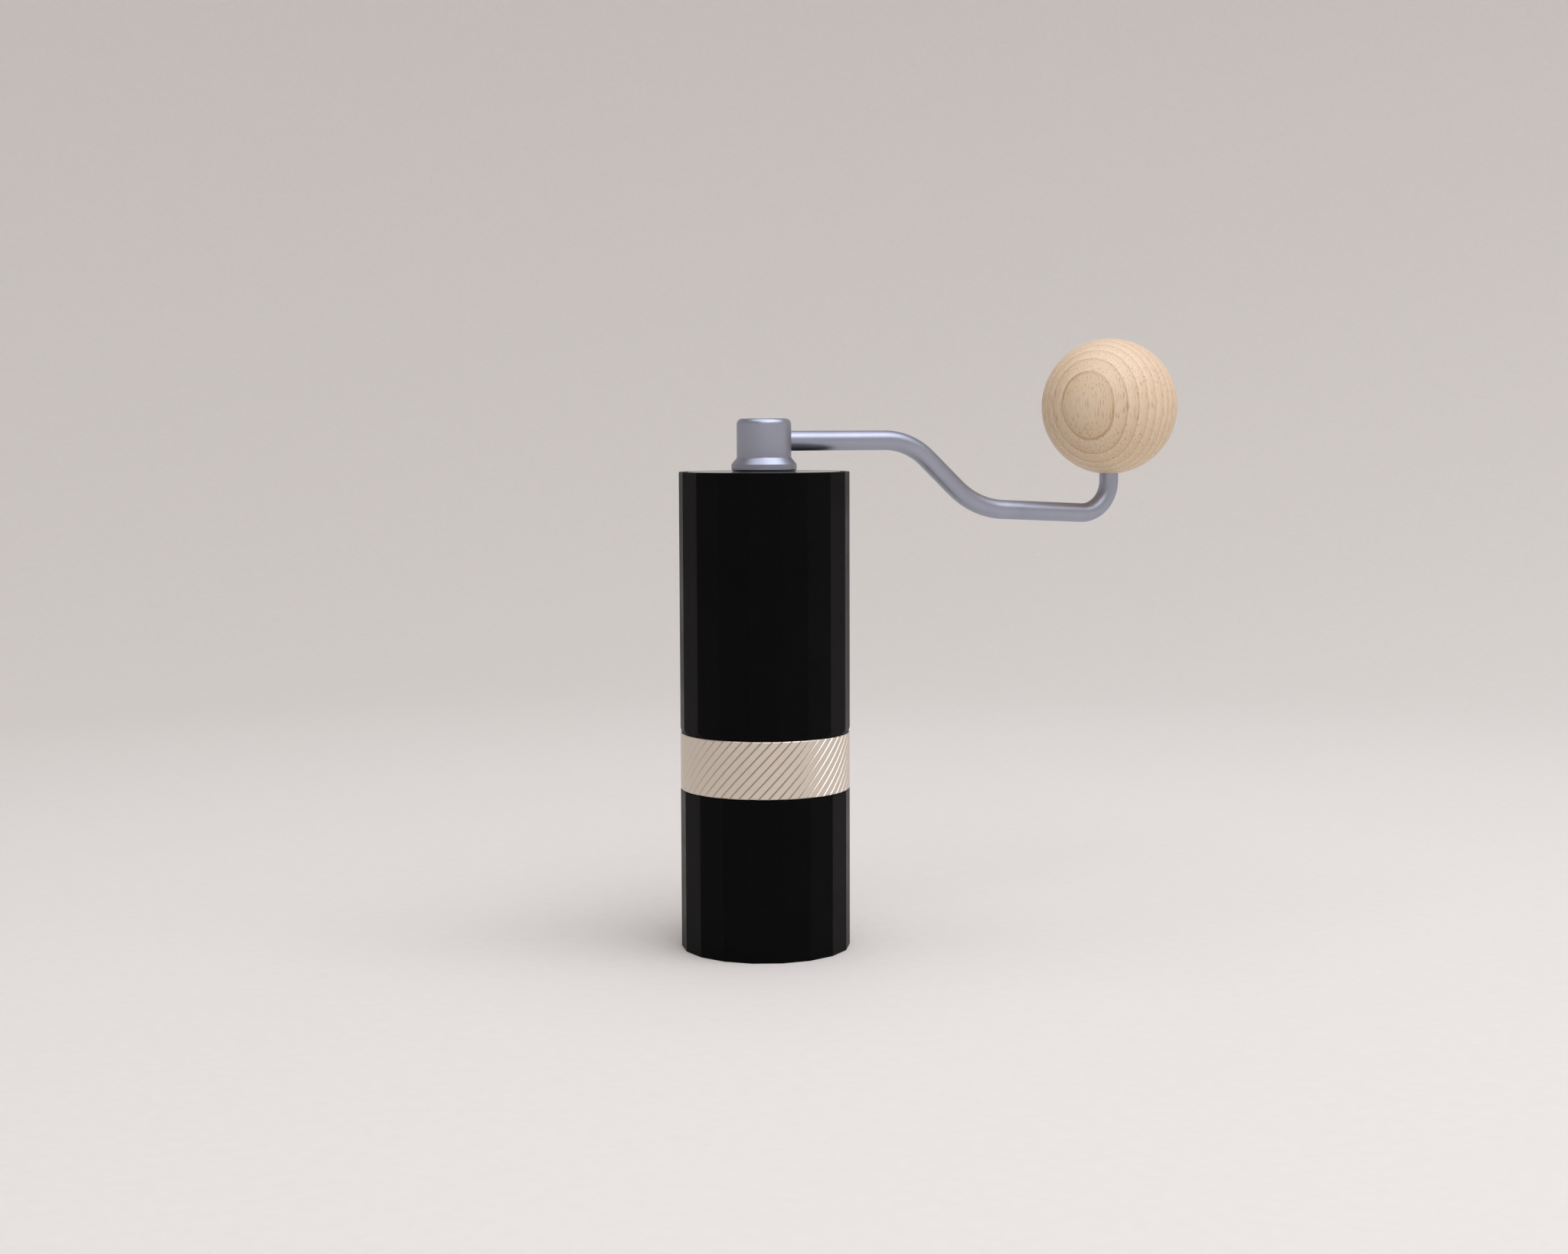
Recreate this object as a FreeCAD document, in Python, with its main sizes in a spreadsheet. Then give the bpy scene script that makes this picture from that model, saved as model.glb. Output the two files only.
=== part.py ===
import FreeCAD, Part
import math
import os
import re
import Sketcher

# Hand crank coffee grinder: 18-sided black body, grooved adjusting ring, bent crank and wooden ball.
# Frame: origin at the centre of the foot, +Z up, the crank points along +X at rest.

doc = FreeCAD.newDocument("hand_crank_coffee_grinder")
Vector = FreeCAD.Vector

# Driving dimensions in millimetres, angles in degrees, and counts
driving = {
    # Outside: cup, ring and body stacked from the foot up
    "across_flats": "50",
    "facet_count": "18",
    "body_facet_turn": "14",
    "cup_facet_turn": "15.75",
    "cup_height": "48",
    "ring_height": "16.9",
    "ring_gap": "0.15",
    "body_height": "77.45",
    "body_edge_height": "1.2",
    "edge_break": "0.2",
    "corner_land": "0.03",
    # Clearances: pieces that pass each other, running fits, seats, threads and seals
    "slide_gap": "0.3",
    "running_gap": "0.06",
    "seat_gap": "0.02",
    "thread_gap": "0.1",
    "seal_gap": "0.08",
    "groove_gap": "0.06",
    # Hopper bore and its ledges
    "hopper_wall": "3",
    "bridge_ledge": "0.6",
    "lid_ledge": "0.6",
    "frame_ledge": "0.8",
    "bridge_depth": "11",
    # Bearings and the holders that carry them
    "shaft_diameter": "8",
    "shaft_shoulder": "1",
    "bearing_section": "4",
    "bearing_inner_ring": "1.3",
    "bearing_shield_gap": "0.3",
    "bearing_width": "5",
    "bearing_lip": "1.5",
    "bearing_lip_width": "1.1",
    "bearing_boss_wall": "2.5",
    "holder_arm_count": "3",
    "holder_rim": "3.2",
    "bridge_arm_width": "6",
    "frame_arm_width": "7",
    "leg_width": "8",
    "leg_thickness": "2.3",
    "skirt_height": "2.6",
    "skirt_gap": "0.4",
    "o_ring_section": "1.4",
    # Circlips
    "circlip_thickness": "0.8",
    "circlip_play": "0.15",
    "circlip_groove_depth": "0.7",
    "circlip_width": "1.9",
    "circlip_opening": "40",
    "groove_end": "0.9",
    # Adjusting ring
    "ring_proud": "0.3",
    "ring_wall": "2.8",
    "ring_groove_count": "54",
    "ring_groove_width": "0.65",
    "ring_groove_depth": "0.25",
    "ring_groove_slant": "43.3",
    "ring_bevel": "0.2",
    # Spigot under the ring, its screws and magnets
    "spigot_flange": "2",
    "spigot_flange_overlap": "1.3",
    "spigot_length": "8",
    "spigot_wall": "4.6",
    "spigot_floor_gap": "0.2",
    "screw_diameter": "2",
    "screw_head_diameter": "3.5",
    "screw_head_height": "2",
    "screw_key": "1.5",
    "screw_reach": "5",
    "magnet_diameter": "2",
    "magnet_height": "2",
    "magnet_count": "6",
    # Burr carrier and burrs
    "carrier_height": "10",
    "carrier_lift": "1",
    "carrier_ledge_height": "1",
    "carrier_ledge_width": "1.2",
    "carrier_notch_wall": "1.7",
    "carrier_screw_diameter": "3",
    "carrier_screw_length": "4",
    "carrier_screw_key": "1.5",
    "outer_burr_height": "14",
    "burr_rim": "2.6",
    "burr_throat_wall": "1.6",
    "burr_gap": "0.5",
    "burr_slope": "18",
    "grind_band": "6.5",
    "tooth_depth": "0.9",
    "outer_tooth_count": "40",
    "inner_tooth_count": "36",
    "throat_tooth_count": "10",
    "throat_tooth_depth": "1.6",
    "tooth_twist": "12",
    "tooth_lean": "0.3",
    "inner_burr_overhang": "1.5",
    "burr_top_gap": "0.7",
    "auger_blade_count": "5",
    "auger_step": "0.4",
    "auger_core": "7.4",
    "auger_top": "8.6",
    "auger_top_core": "5.6",
    "auger_twist": "85",
    "blade_land": "0.2",
    "blade_back": "0.55",
    "blade_face": "0.9",
    # Lower end of the shaft
    "drive_flats": "6.8",
    "hex_gap": "0.08",
    "shaft_thread": "6",
    "burr_washer_diameter": "14",
    "burr_washer_thickness": "0.8",
    "nut_flats": "10",
    "nut_height": "4",
    "nut_face_share": "0.95",
    "shaft_end": "0.6",
    # Catch cup
    "cup_wall": "5",
    "cup_rim_wall": "2.1",
    "cup_floor": "2.5",
    "cup_floor_fillet": "3",
    # Lid
    "lid_thickness": "3",
    "lid_skirt_height": "2.6",
    "lid_skirt_wall": "2.6",
    "lid_bush_wall": "1.5",
    "lid_bush_flange": "1.5",
    "lid_bush_flange_thickness": "1",
    # Crank hub
    "hub_neck": "12",
    "hub_diameter": "16.2",
    "hub_height": "15.25",
    "hub_top_fillet": "1.7",
    "collar_diameter": "19.4",
    "collar_height": "1.75",
    "collar_slope": "1.9",
    "collar_slope_fillet": "0.8",
    "thrust_washer_thickness": "0.45",
    "thrust_washer_set_in": "0.3",
    "socket_roof": "0.9",
    "socket_top_gap": "0.4",
    "hex_lead": "2.8",
    "hub_screw_diameter": "4",
    "hub_screw_key": "2",
    "hub_screw_recess": "0.2",
    "key_depth": "1.6",
    # Crank rod
    "rod_diameter": "6",
    "rod_depth": "6.65",
    "rod_insert": "11.5",
    "upper_run": "40.6",
    "upper_bend": "22",
    "drop_slope": "42",
    "lower_bend": "27.5",
    "lower_slope": "3",
    "corner_bend": "10",
    "crank_throw": "122",
    "crank_drop": "23.85",
    # Knob
    "ball_diameter": "43",
    "stub_length": "12.75",
    "spindle_diameter": "4",
    "knob_recess": "2",
    "knob_washer_thickness": "0.8",
    "insert_length": "20",
    "insert_wall": "1.24",
    "knob_clip_groove": "0.5",
    "knob_clip_width": "1.4",
    "blind_gap": "1",
}

# Places and radii that follow from the driving dimensions
derived = {
    "corner_radius": "across_flats / 2 / cos(180 deg / facet_count)",
    "turned_radius": "corner_radius - corner_land",
    "body_bottom": "cup_height + ring_height + 2 * ring_gap",
    "body_top": "body_bottom + body_height",
    "bore_radius": "across_flats / 2 - hopper_wall",
    "bridge_seat_radius": "bore_radius + bridge_ledge",
    "lid_seat_radius": "bridge_seat_radius + lid_ledge",
    "frame_seat_radius": "bore_radius + frame_ledge",
    "lid_seat_height": "body_top - lid_thickness",
    "holder_thickness": "bearing_lip + bearing_width",
    "bridge_top": "body_top - bridge_depth",
    "bridge_bottom": "bridge_top - holder_thickness",
    "frame_top": "body_bottom + holder_thickness",
    "shaft_radius": "shaft_diameter / 2",
    "shoulder_radius": "shaft_radius + shaft_shoulder",
    "bearing_radius": "shaft_radius + bearing_section",
    "bearing_ring_radius": "shaft_radius + bearing_inner_ring",
    "bearing_shield_radius": "bearing_ring_radius + bearing_shield_gap",
    "bearing_lip_radius": "bearing_radius - bearing_lip_width",
    "boss_radius": "bearing_radius + bearing_boss_wall",
    "bridge_groove_radius": "bridge_seat_radius + circlip_groove_depth",
    "ring_radius": "across_flats / 2 + ring_proud",
    "ring_bottom": "cup_height + ring_gap",
    "thread_radius": "ring_radius - ring_wall",
    "spigot_top": "cup_height + spigot_flange",
    "spigot_flange_radius": "thread_radius + spigot_flange_overlap",
    "spigot_bottom": "cup_height - spigot_length",
    "cup_recess_radius": "across_flats / 2 - cup_rim_wall",
    "spigot_radius": "cup_recess_radius - slide_gap",
    "spigot_bore_radius": "spigot_radius - spigot_wall",
    "screw_circle": "(spigot_radius + spigot_bore_radius) / 2",
    "cup_bore_radius": "across_flats / 2 - cup_wall",
    "cup_shoulder": "spigot_bottom - spigot_floor_gap",
    "magnet_circle": "(cup_bore_radius + spigot_radius) / 2",
    "skirt_radius": "thread_radius - skirt_gap",
    "skirt_bottom": "body_bottom - skirt_height",
    "drag_ring_height": "body_bottom - skirt_height / 2",
    "drag_ring_radius": "thread_radius - seal_gap - o_ring_section / 2",
    "leg_outer": "sqrt(skirt_radius * skirt_radius - leg_width * leg_width / 4)",
    "leg_inner": "leg_outer - leg_thickness",
    "carrier_radius": "thread_radius - thread_gap",
    "carrier_bottom": "spigot_top + carrier_lift",
    "carrier_top": "carrier_bottom + carrier_height",
    "notch_inner": "leg_inner - slide_gap",
    "burr_radius": "notch_inner - carrier_notch_wall",
    "outer_burr_top": "carrier_top - carrier_ledge_height",
    "outer_burr_bottom": "outer_burr_top - outer_burr_height",
    "inner_burr_bottom": "outer_burr_bottom - inner_burr_overhang",
    "inner_burr_top": "body_bottom - burr_top_gap",
    "band_top": "outer_burr_bottom + grind_band",
    "shaft_bottom": "inner_burr_bottom - burr_washer_thickness - nut_height - shaft_end",
    "collar_bottom": "body_top + thrust_washer_thickness",
    "hub_top": "collar_bottom + hub_height",
    "rod_height": "hub_top - rod_depth",
    "socket_top": "rod_height - rod_diameter / 2 - socket_roof",
    "shaft_top": "socket_top - socket_top_gap",
    "neck_radius": "hub_neck / 2",
    "bush_bore_radius": "neck_radius + running_gap",
    "bush_radius": "bush_bore_radius + lid_bush_wall",
    "bush_bottom": "lid_seat_height - lid_bush_flange_thickness",
    "hub_clip_top": "bush_bottom - circlip_play",
    "hub_clip_bottom": "hub_clip_top - circlip_thickness",
    "hub_bottom": "hub_clip_bottom - groove_end",
    "hex_start": "hub_bottom - hex_lead",
    "lid_radius": "lid_seat_radius - slide_gap",
    "lid_skirt_bottom": "lid_seat_height - lid_skirt_height",
    "lid_skirt_radius": "bridge_seat_radius - slide_gap",
    "lid_seal_height": "lid_seat_height - lid_skirt_height / 2",
    "lid_seal_radius": "bridge_seat_radius - seal_gap - o_ring_section / 2",
    "corner_height": "rod_height - crank_drop",
    "ball_bottom": "corner_height + stub_length",
    "ball_height": "ball_bottom + ball_diameter / 2",
    "spindle_radius": "spindle_diameter / 2",
    "rod_shoulder": "ball_bottom + knob_recess",
    "insert_bottom": "rod_shoulder + knob_washer_thickness",
    "insert_top": "insert_bottom + insert_length",
    "insert_bore_radius": "spindle_radius + running_gap",
    "insert_radius": "insert_bore_radius + insert_wall",
    "knob_clip_bottom": "insert_top + circlip_play",
    "knob_clip_top": "knob_clip_bottom + circlip_thickness",
    "spindle_top": "knob_clip_top + groove_end",
    "knob_bore_top": "spindle_top + blind_gap",
}


def bound(words):
    """Turn plain size names into references to the two sheets."""

    def in_sheet(match):
        word = match.group(0)
        if word in driving:
            return "Sizes." + word
        if word in derived:
            return "Places." + word
        return word

    return re.sub(r"[a-z_]+", in_sheet, words)


sizes = doc.addObject("Spreadsheet::Sheet", "Sizes")
for row, (name, number) in enumerate(driving.items(), start=1):
    sizes.set(f"A{row}", name)
    sizes.set(f"B{row}", number)
    sizes.setAlias(f"B{row}", name)
places = doc.addObject("Spreadsheet::Sheet", "Places")
for row, (name, formula) in enumerate(derived.items(), start=1):
    places.set(f"A{row}", name)
    places.setAlias(f"B{row}", name)
for row, (name, formula) in enumerate(derived.items(), start=1):
    places.set(f"B{row}", "=" + bound(formula))
doc.recompute()


def size(words):
    return float(sizes.evalExpression(bound(words)))


# Modelling steps shared by the pieces
def new_body(name):
    body = doc.addObject("PartDesign::Body", name)
    body.Label = name
    return body


def new_sketch(body, name, role, offset="0"):
    sketch = body.newObject("Sketcher::SketchObject", f"{body.Name}_{name}")
    plane = [feature for feature in body.Origin.OriginFeatures if feature.Role == role][0]
    sketch.AttachmentSupport = [(plane, "")]
    sketch.MapMode = "FlatFace"
    sketch.setExpression("AttachmentOffset.Base.z", bound(offset))
    return sketch


def pin_point(sketch, geometry, end, point):
    """Hold one end of a line, arc or circle at a place given in size names."""
    for kind, words in zip(("DistanceX", "DistanceY"), point):
        index = sketch.addConstraint(Sketcher.Constraint(kind, -1, 1, geometry, end, size(words)))
        sketch.setExpression(f"Constraints[{index}]", bound(words))


def draw_outline(sketch, outline):
    """Closed outline of straight lines through corners given in size names."""
    corners = [Vector(size(x), size(y), 0) for x, y in outline]
    count = len(corners)
    first = sketch.GeometryCount
    for k in range(count):
        sketch.addGeometry(Part.LineSegment(corners[k], corners[(k + 1) % count]), False)
    for k in range(count):
        sketch.addConstraint(Sketcher.Constraint("Coincident", first + k, 2, first + (k + 1) % count, 1))
    for k, corner in enumerate(outline):
        pin_point(sketch, first + k, 1, corner)


def draw_circle(sketch, centre, radius):
    middle = Vector(size(centre[0]), size(centre[1]), 0)
    geometry = sketch.addGeometry(Part.Circle(middle, Vector(0, 0, 1), size(radius)), False)
    pin_point(sketch, geometry, 3, centre)
    index = sketch.addConstraint(Sketcher.Constraint("Radius", geometry, size(radius)))
    sketch.setExpression(f"Constraints[{index}]", bound(radius))


def turn(body, name, outline, kind="Revolution", angle=360):
    """Revolve an outline of (radius, height) corners about the vertical axis, adding or removing."""
    sketch = new_sketch(body, name + "_outline", "XZ_Plane")
    draw_outline(sketch, outline)
    feature = body.newObject("PartDesign::" + kind, f"{body.Name}_{name}")
    feature.Profile = sketch
    feature.ReferenceAxis = (sketch, ["V_Axis"])
    feature.Angle = angle
    body.Tip = feature
    doc.recompute()
    return feature


def raise_pad(body, name, outline, bottom, top):
    sketch = new_sketch(body, name + "_outline", "XY_Plane", bottom)
    draw_outline(sketch, outline)
    pad = body.newObject("PartDesign::Pad", f"{body.Name}_{name}")
    pad.Profile = sketch
    pad.setExpression("Length", bound(f"{top} - ({bottom})"))
    body.Tip = pad
    doc.recompute()
    return pad


def cut_pocket(body, name, draw, role, start, depth, along_normal):
    """Pocket from a drawn sketch; the volume shows that it cut something."""
    before = body.Shape.Volume
    sketch = new_sketch(body, name + "_outline", role, start)
    draw(sketch)
    pocket = body.newObject("PartDesign::Pocket", f"{body.Name}_{name}")
    pocket.Profile = sketch
    pocket.setExpression("Length", bound(depth))
    pocket.Reversed = along_normal
    body.Tip = pocket
    doc.recompute()
    if body.Shape.Volume >= before:
        raise RuntimeError(f"{pocket.Name} cuts nothing")
    return pocket


def repeat_round(body, features, count):
    """Copy features round the vertical axis and make the copies part of the body."""
    pattern = body.newObject("PartDesign::PolarPattern", f"{features[0].Name}_round")
    pattern.Originals = features
    axis = [line for line in body.Origin.OriginFeatures if line.Role == "Z_Axis"][0]
    pattern.Axis = (axis, [""])
    pattern.Angle = 360
    pattern.setExpression("Occurrences", bound(count))
    body.Tip = pattern
    doc.recompute()
    return pattern


def turned_piece(name, outline, angle=360):
    body = new_body(name)
    turn(body, "turning", outline, angle=angle)
    return body


def tube(name, inner, outer, bottom, top, angle=360):
    return turned_piece(name, [(inner, bottom), (outer, bottom), (outer, top), (inner, top)], angle)


def hexagon(flats):
    """Corners of a hexagon given by its width across flats."""
    corners = []
    for k in range(6):
        angle = f"{60 * k} deg"
        corners.append((f"({flats}) / sqrt(3) * cos({angle})", f"({flats}) / sqrt(3) * sin({angle})"))
    return corners


def box_outline(left, right, half_width):
    return [(left, f"-({half_width})"), (right, f"-({half_width})"), (right, half_width), (left, half_width)]


def edge_at(feature, radius, height):
    """Name of the round edge of a feature at a radius and height."""
    for number, edge in enumerate(feature.Shape.Edges, start=1):
        curve = edge.Curve
        round_edge = isinstance(curve, Part.Circle) and abs(curve.Radius - radius) < 1e-4
        if round_edge and abs(curve.Center.z - height) < 1e-4:
            return f"Edge{number}"
    raise RuntimeError("no such edge")


def round_edge(body, name, base, radius, height, fillet):
    feature = body.newObject("PartDesign::Fillet", f"{body.Name}_{name}")
    feature.Base = (base, [edge_at(base, size(radius), size(height))])
    feature.setExpression("Radius", bound(fillet))
    body.Tip = feature
    doc.recompute()
    return feature


def faceted(name, turning, bottom, top, facet_turn):
    """A turned piece with flats milled along it: a faceted bar with broken end edges, and the turning."""
    bar = new_body(name + "_flats")
    count = round(size("facet_count"))
    corners = []
    for k in range(count):
        angle = f"({facet_turn} + {k} * 360 / facet_count) * 1 deg"
        corners.append((f"corner_radius * cos({angle})", f"corner_radius * sin({angle})"))
    pad = raise_pad(bar, "bar", corners, bottom, top)
    ends = [f"Face{number}" for number, face in enumerate(pad.Shape.Faces, start=1)
            if abs(face.normalAt(0, 0).z) > 0.9]
    broken = bar.newObject("PartDesign::Chamfer", name + "_edge_break")
    broken.Base = (pad, ends)
    broken.setExpression("Size", bound("edge_break"))
    bar.Tip = broken
    piece = doc.addObject("Part::Common", name)
    piece.Base = bar
    piece.Tool = turning
    piece.Label = name
    doc.recompute()
    return piece


def o_ring(name, radius, height):
    ring = doc.addObject("Part::Torus", name)
    ring.Label = name
    ring.setExpression("Radius1", bound(radius))
    ring.setExpression("Radius2", bound("o_ring_section / 2"))
    ring.setExpression("Placement.Base.z", bound(height))
    doc.recompute()
    return ring


def made_shape(name, shape):
    feature = doc.addObject("Part::Feature", name)
    feature.Shape = shape
    feature.Placement = FreeCAD.Placement()
    feature.Label = name
    return feature


def closed_solid(faces):
    """Sew faces that share their edges into one solid."""
    shell = Part.Shell(faces)
    shell.sewShape()
    solid = Part.Solid(shell)
    if solid.Volume < 0:
        solid.reverse()
    return solid


def polar_point(radius, angle, height):
    return Vector(radius * math.cos(angle), radius * math.sin(angle), height)


def round_outline(radius, height):
    return [Part.makeCircle(radius, Vector(0, 0, height))]


def cornered_outline(corners):
    return [Part.makeLine(start, end) for start, end in zip(corners, corners[1:] + corners[:1])]


def flat_ring(outer, inner):
    """Flat face between two closed outlines at one height."""
    return Part.makeFace([Part.Wire(outer), Part.Wire(inner)], "Part::FaceMakerBullseye")


def skin(outlines, ruled=True):
    """Faces through outlines one above the other, edge by edge, so a groove or tooth keeps its own slant."""
    strips = [Part.makeLoft([Part.Wire([edge]) for edge in edges], False, ruled) for edges in zip(*outlines)]
    return [face for strip in strips for face in strip.Faces]


def shares(steps):
    """Equal steps from nought to one."""
    return [k / steps for k in range(steps + 1)]


# Steps in which the slanted grooves, teeth and blades are drawn
RING_STEPS = 4
TOOTH_STEPS = 2
AUGER_STEPS = 6


# Upper body: faceted tube with the bean hopper's bore, turned true at its lower edge
body_turning = turned_piece("upper_body_turning", [
    ("frame_seat_radius", "body_bottom"),
    ("across_flats / 2", "body_bottom"),
    ("turned_radius", "body_bottom + body_edge_height"),
    ("turned_radius", "body_top"),
    ("lid_seat_radius", "body_top"),
    ("lid_seat_radius", "lid_seat_height"),
    ("bridge_seat_radius", "lid_seat_height"),
    ("bridge_seat_radius", "bridge_top + circlip_thickness + seat_gap"),
    ("bridge_groove_radius", "bridge_top + circlip_thickness + seat_gap"),
    ("bridge_groove_radius", "bridge_top"),
    ("bridge_seat_radius", "bridge_top"),
    ("bridge_seat_radius", "bridge_bottom"),
    ("bore_radius", "bridge_bottom"),
    ("bore_radius", "frame_top"),
    ("frame_seat_radius", "frame_top"),
])
upper_body = faceted("upper_body", body_turning, "body_bottom", "body_top", "body_facet_turn")


# Bearing holders: a star of arms from a boss to a rim, bored for the bearing
def bearing_holder(name, arm_width, rim_outline, bottom, top, seat_outline):
    holder = new_body(name)
    arm = raise_pad(holder, "arm", box_outline("0", rim_outline[0][0], f"{arm_width} / 2"), bottom, top)
    repeat_round(holder, [arm], "holder_arm_count")
    turn(holder, "rim", rim_outline)
    turn(holder, "boss", [("0", bottom), ("boss_radius", bottom), ("boss_radius", top), ("0", top)])
    turn(holder, "seat", seat_outline, "Groove")
    return holder


bridge_rim = "bridge_seat_radius - seat_gap"
upper_bridge = bearing_holder("upper_bridge", "bridge_arm_width", [
    ("bridge_seat_radius - holder_rim", "bridge_bottom"),
    (bridge_rim, "bridge_bottom"),
    (bridge_rim, "bridge_top"),
    ("bridge_seat_radius - holder_rim", "bridge_top"),
], "bridge_bottom", "bridge_top", [
    ("0", "bridge_bottom"),
    ("bearing_radius", "bridge_bottom"),
    ("bearing_radius", "bridge_bottom + bearing_width"),
    ("bearing_lip_radius", "bridge_bottom + bearing_width"),
    ("bearing_lip_radius", "bridge_top"),
    ("0", "bridge_top"),
])
bridge_circlip = tube("bridge_circlip", "bridge_groove_radius - circlip_width",
                      "bridge_groove_radius - seat_gap", "bridge_top",
                      "bridge_top + circlip_thickness", 360 - size("circlip_opening"))

frame_rim = "frame_seat_radius - seat_gap"
drag_groove = "drag_ring_radius - o_ring_section / 2 - groove_gap"
drag_half = "(o_ring_section / 2 + groove_gap)"
lower_frame = bearing_holder("lower_frame", "frame_arm_width", [
    ("frame_seat_radius - holder_rim", "skirt_bottom"),
    ("skirt_radius", "skirt_bottom"),
    ("skirt_radius", f"drag_ring_height - {drag_half}"),
    (drag_groove, f"drag_ring_height - {drag_half}"),
    (drag_groove, f"drag_ring_height + {drag_half}"),
    ("skirt_radius", f"drag_ring_height + {drag_half}"),
    ("skirt_radius", "body_bottom"),
    (frame_rim, "body_bottom"),
    (frame_rim, "frame_top"),
    ("frame_seat_radius - holder_rim", "frame_top"),
], "body_bottom", "frame_top", [
    ("0", "body_bottom"),
    ("bearing_lip_radius", "body_bottom"),
    ("bearing_lip_radius", "body_bottom + bearing_lip"),
    ("bearing_radius", "body_bottom + bearing_lip"),
    ("bearing_radius", "frame_top"),
    ("0", "frame_top"),
])
frame_leg = raise_pad(lower_frame, "leg", box_outline("leg_inner", "leg_outer", "leg_width / 2"),
                      "spigot_top", "skirt_bottom")
leg_hole = cut_pocket(
    lower_frame, "leg_hole",
    lambda sketch: draw_circle(sketch, ("screw_circle", "0"), "screw_diameter / 2 + seat_gap"),
    "XY_Plane", "spigot_top", "screw_reach + blind_gap", True)
repeat_round(lower_frame, [frame_leg, leg_hole], "holder_arm_count")

ring_drag_o_ring = o_ring("ring_drag_o_ring", "drag_ring_radius", "drag_ring_height")


# Bearings: a shielded outer ring in the holder and an inner ring on the shaft
def bearing(name, bottom):
    top = f"{bottom} + bearing_width"
    outer = tube(name + "_outer", "bearing_shield_radius", "bearing_radius - seat_gap", bottom, top)
    inner = tube(name + "_inner", "shaft_radius + seat_gap", "bearing_ring_radius", bottom, top)
    return outer, inner


upper_bearing_outer, upper_bearing_inner = bearing("upper_bearing", "bridge_bottom")
lower_bearing_outer, lower_bearing_inner = bearing("lower_bearing", "body_bottom + bearing_lip")

# Spigot: collar under the ring that carries it and takes the cup
cup_spigot = turned_piece("cup_spigot", [
    ("spigot_bore_radius", "spigot_bottom"),
    ("spigot_radius", "spigot_bottom"),
    ("spigot_radius", "cup_height"),
    ("spigot_flange_radius", "cup_height"),
    ("spigot_flange_radius", "spigot_top"),
    ("spigot_bore_radius", "spigot_top"),
])
screw_head_hole = cut_pocket(cup_spigot, "screw_head_hole",
                             lambda sketch: draw_circle(sketch, ("screw_circle", "0"),
                                                        "screw_head_diameter / 2 + thread_gap"),
                             "XY_Plane", "spigot_bottom", "screw_head_height + seat_gap", True)
screw_hole = cut_pocket(cup_spigot, "screw_hole",
                        lambda sketch: draw_circle(sketch, ("screw_circle", "0"),
                                                   "screw_diameter / 2 + thread_gap"),
                        "XY_Plane", "spigot_bottom", "spigot_length + spigot_flange", True)
repeat_round(cup_spigot, [screw_head_hole, screw_hole], "holder_arm_count")


# Magnets sit half way between two screws
magnet_angle = "180 deg / magnet_count"
magnet_place = (f"magnet_circle * cos({magnet_angle})", f"magnet_circle * sin({magnet_angle})")


def magnet_pockets(body, start, upwards):
    pocket = cut_pocket(body, "magnet_pocket",
                        lambda sketch: draw_circle(sketch, magnet_place, "magnet_diameter / 2 + seat_gap"),
                        "XY_Plane", start, "magnet_height + seat_gap", upwards)
    repeat_round(body, [pocket], "magnet_count")


def magnets(name, bottom):
    group = new_body(name)
    sketch = new_sketch(group, "outline", "XY_Plane", bottom)
    draw_circle(sketch, magnet_place, "magnet_diameter / 2")
    pad = group.newObject("PartDesign::Pad", name + "_one")
    pad.Profile = sketch
    pad.setExpression("Length", bound("magnet_height"))
    doc.recompute()
    repeat_round(group, [pad], "magnet_count")
    return group


magnet_pockets(cup_spigot, "spigot_bottom", True)
spigot_magnets = magnets("spigot_magnets", "spigot_bottom")

# Spigot screws: socket heads in the spigot's lower face, threaded into the legs
spigot_screws = new_body("spigot_screws")
screw_parts = []
for name, radius, bottom, top in (
    ("head", "screw_head_diameter / 2", "spigot_bottom", "spigot_bottom + screw_head_height"),
    ("shank", "screw_diameter / 2", "spigot_bottom + screw_head_height", "spigot_top + screw_reach"),
):
    sketch = new_sketch(spigot_screws, name + "_outline", "XY_Plane", bottom)
    draw_circle(sketch, ("screw_circle", "0"), radius)
    pad = spigot_screws.newObject("PartDesign::Pad", "spigot_screws_" + name)
    pad.Profile = sketch
    pad.setExpression("Length", bound(f"{top} - ({bottom})"))
    doc.recompute()
    screw_parts.append(pad)
screw_key = [(f"screw_circle + {x}", y) for x, y in hexagon("screw_key")]
screw_parts.append(cut_pocket(spigot_screws, "key", lambda sketch: draw_outline(sketch, screw_key),
                              "XY_Plane", "spigot_bottom", "screw_head_height / 2", True))
repeat_round(spigot_screws, screw_parts, "holder_arm_count")

# Adjusting ring: slanted V-grooves round the outside, threaded bore, recess for the spigot's flange
ring_radius = size("ring_radius")
groove_bottom = ring_radius - size("ring_groove_depth")
groove_pitch = 2 * math.pi / size("ring_groove_count")
groove_turn = math.tan(math.radians(size("ring_groove_slant"))) / ring_radius


def grooved_outline(land_radius, rise):
    """Outline of the ring at a height above its lower face, turned along the slant of the grooves."""
    height = size("ring_bottom") + rise
    share = (land_radius - groove_bottom) / (ring_radius - groove_bottom)
    half = size("ring_groove_width") / 2 / ring_radius * share
    edges = []
    for k in range(round(size("ring_groove_count"))):
        middle = k * groove_pitch + groove_turn * rise
        start = polar_point(land_radius, middle - half, height)
        root = polar_point(groove_bottom, middle, height)
        end = polar_point(land_radius, middle + half, height)
        land = polar_point(land_radius, middle + groove_pitch / 2, height)
        following = polar_point(land_radius, middle + groove_pitch - half, height)
        edges.append(Part.LineSegment(start, root).toShape())
        edges.append(Part.LineSegment(root, end).toShape())
        edges.append(Part.Arc(end, land, following).toShape())
    return edges


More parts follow.
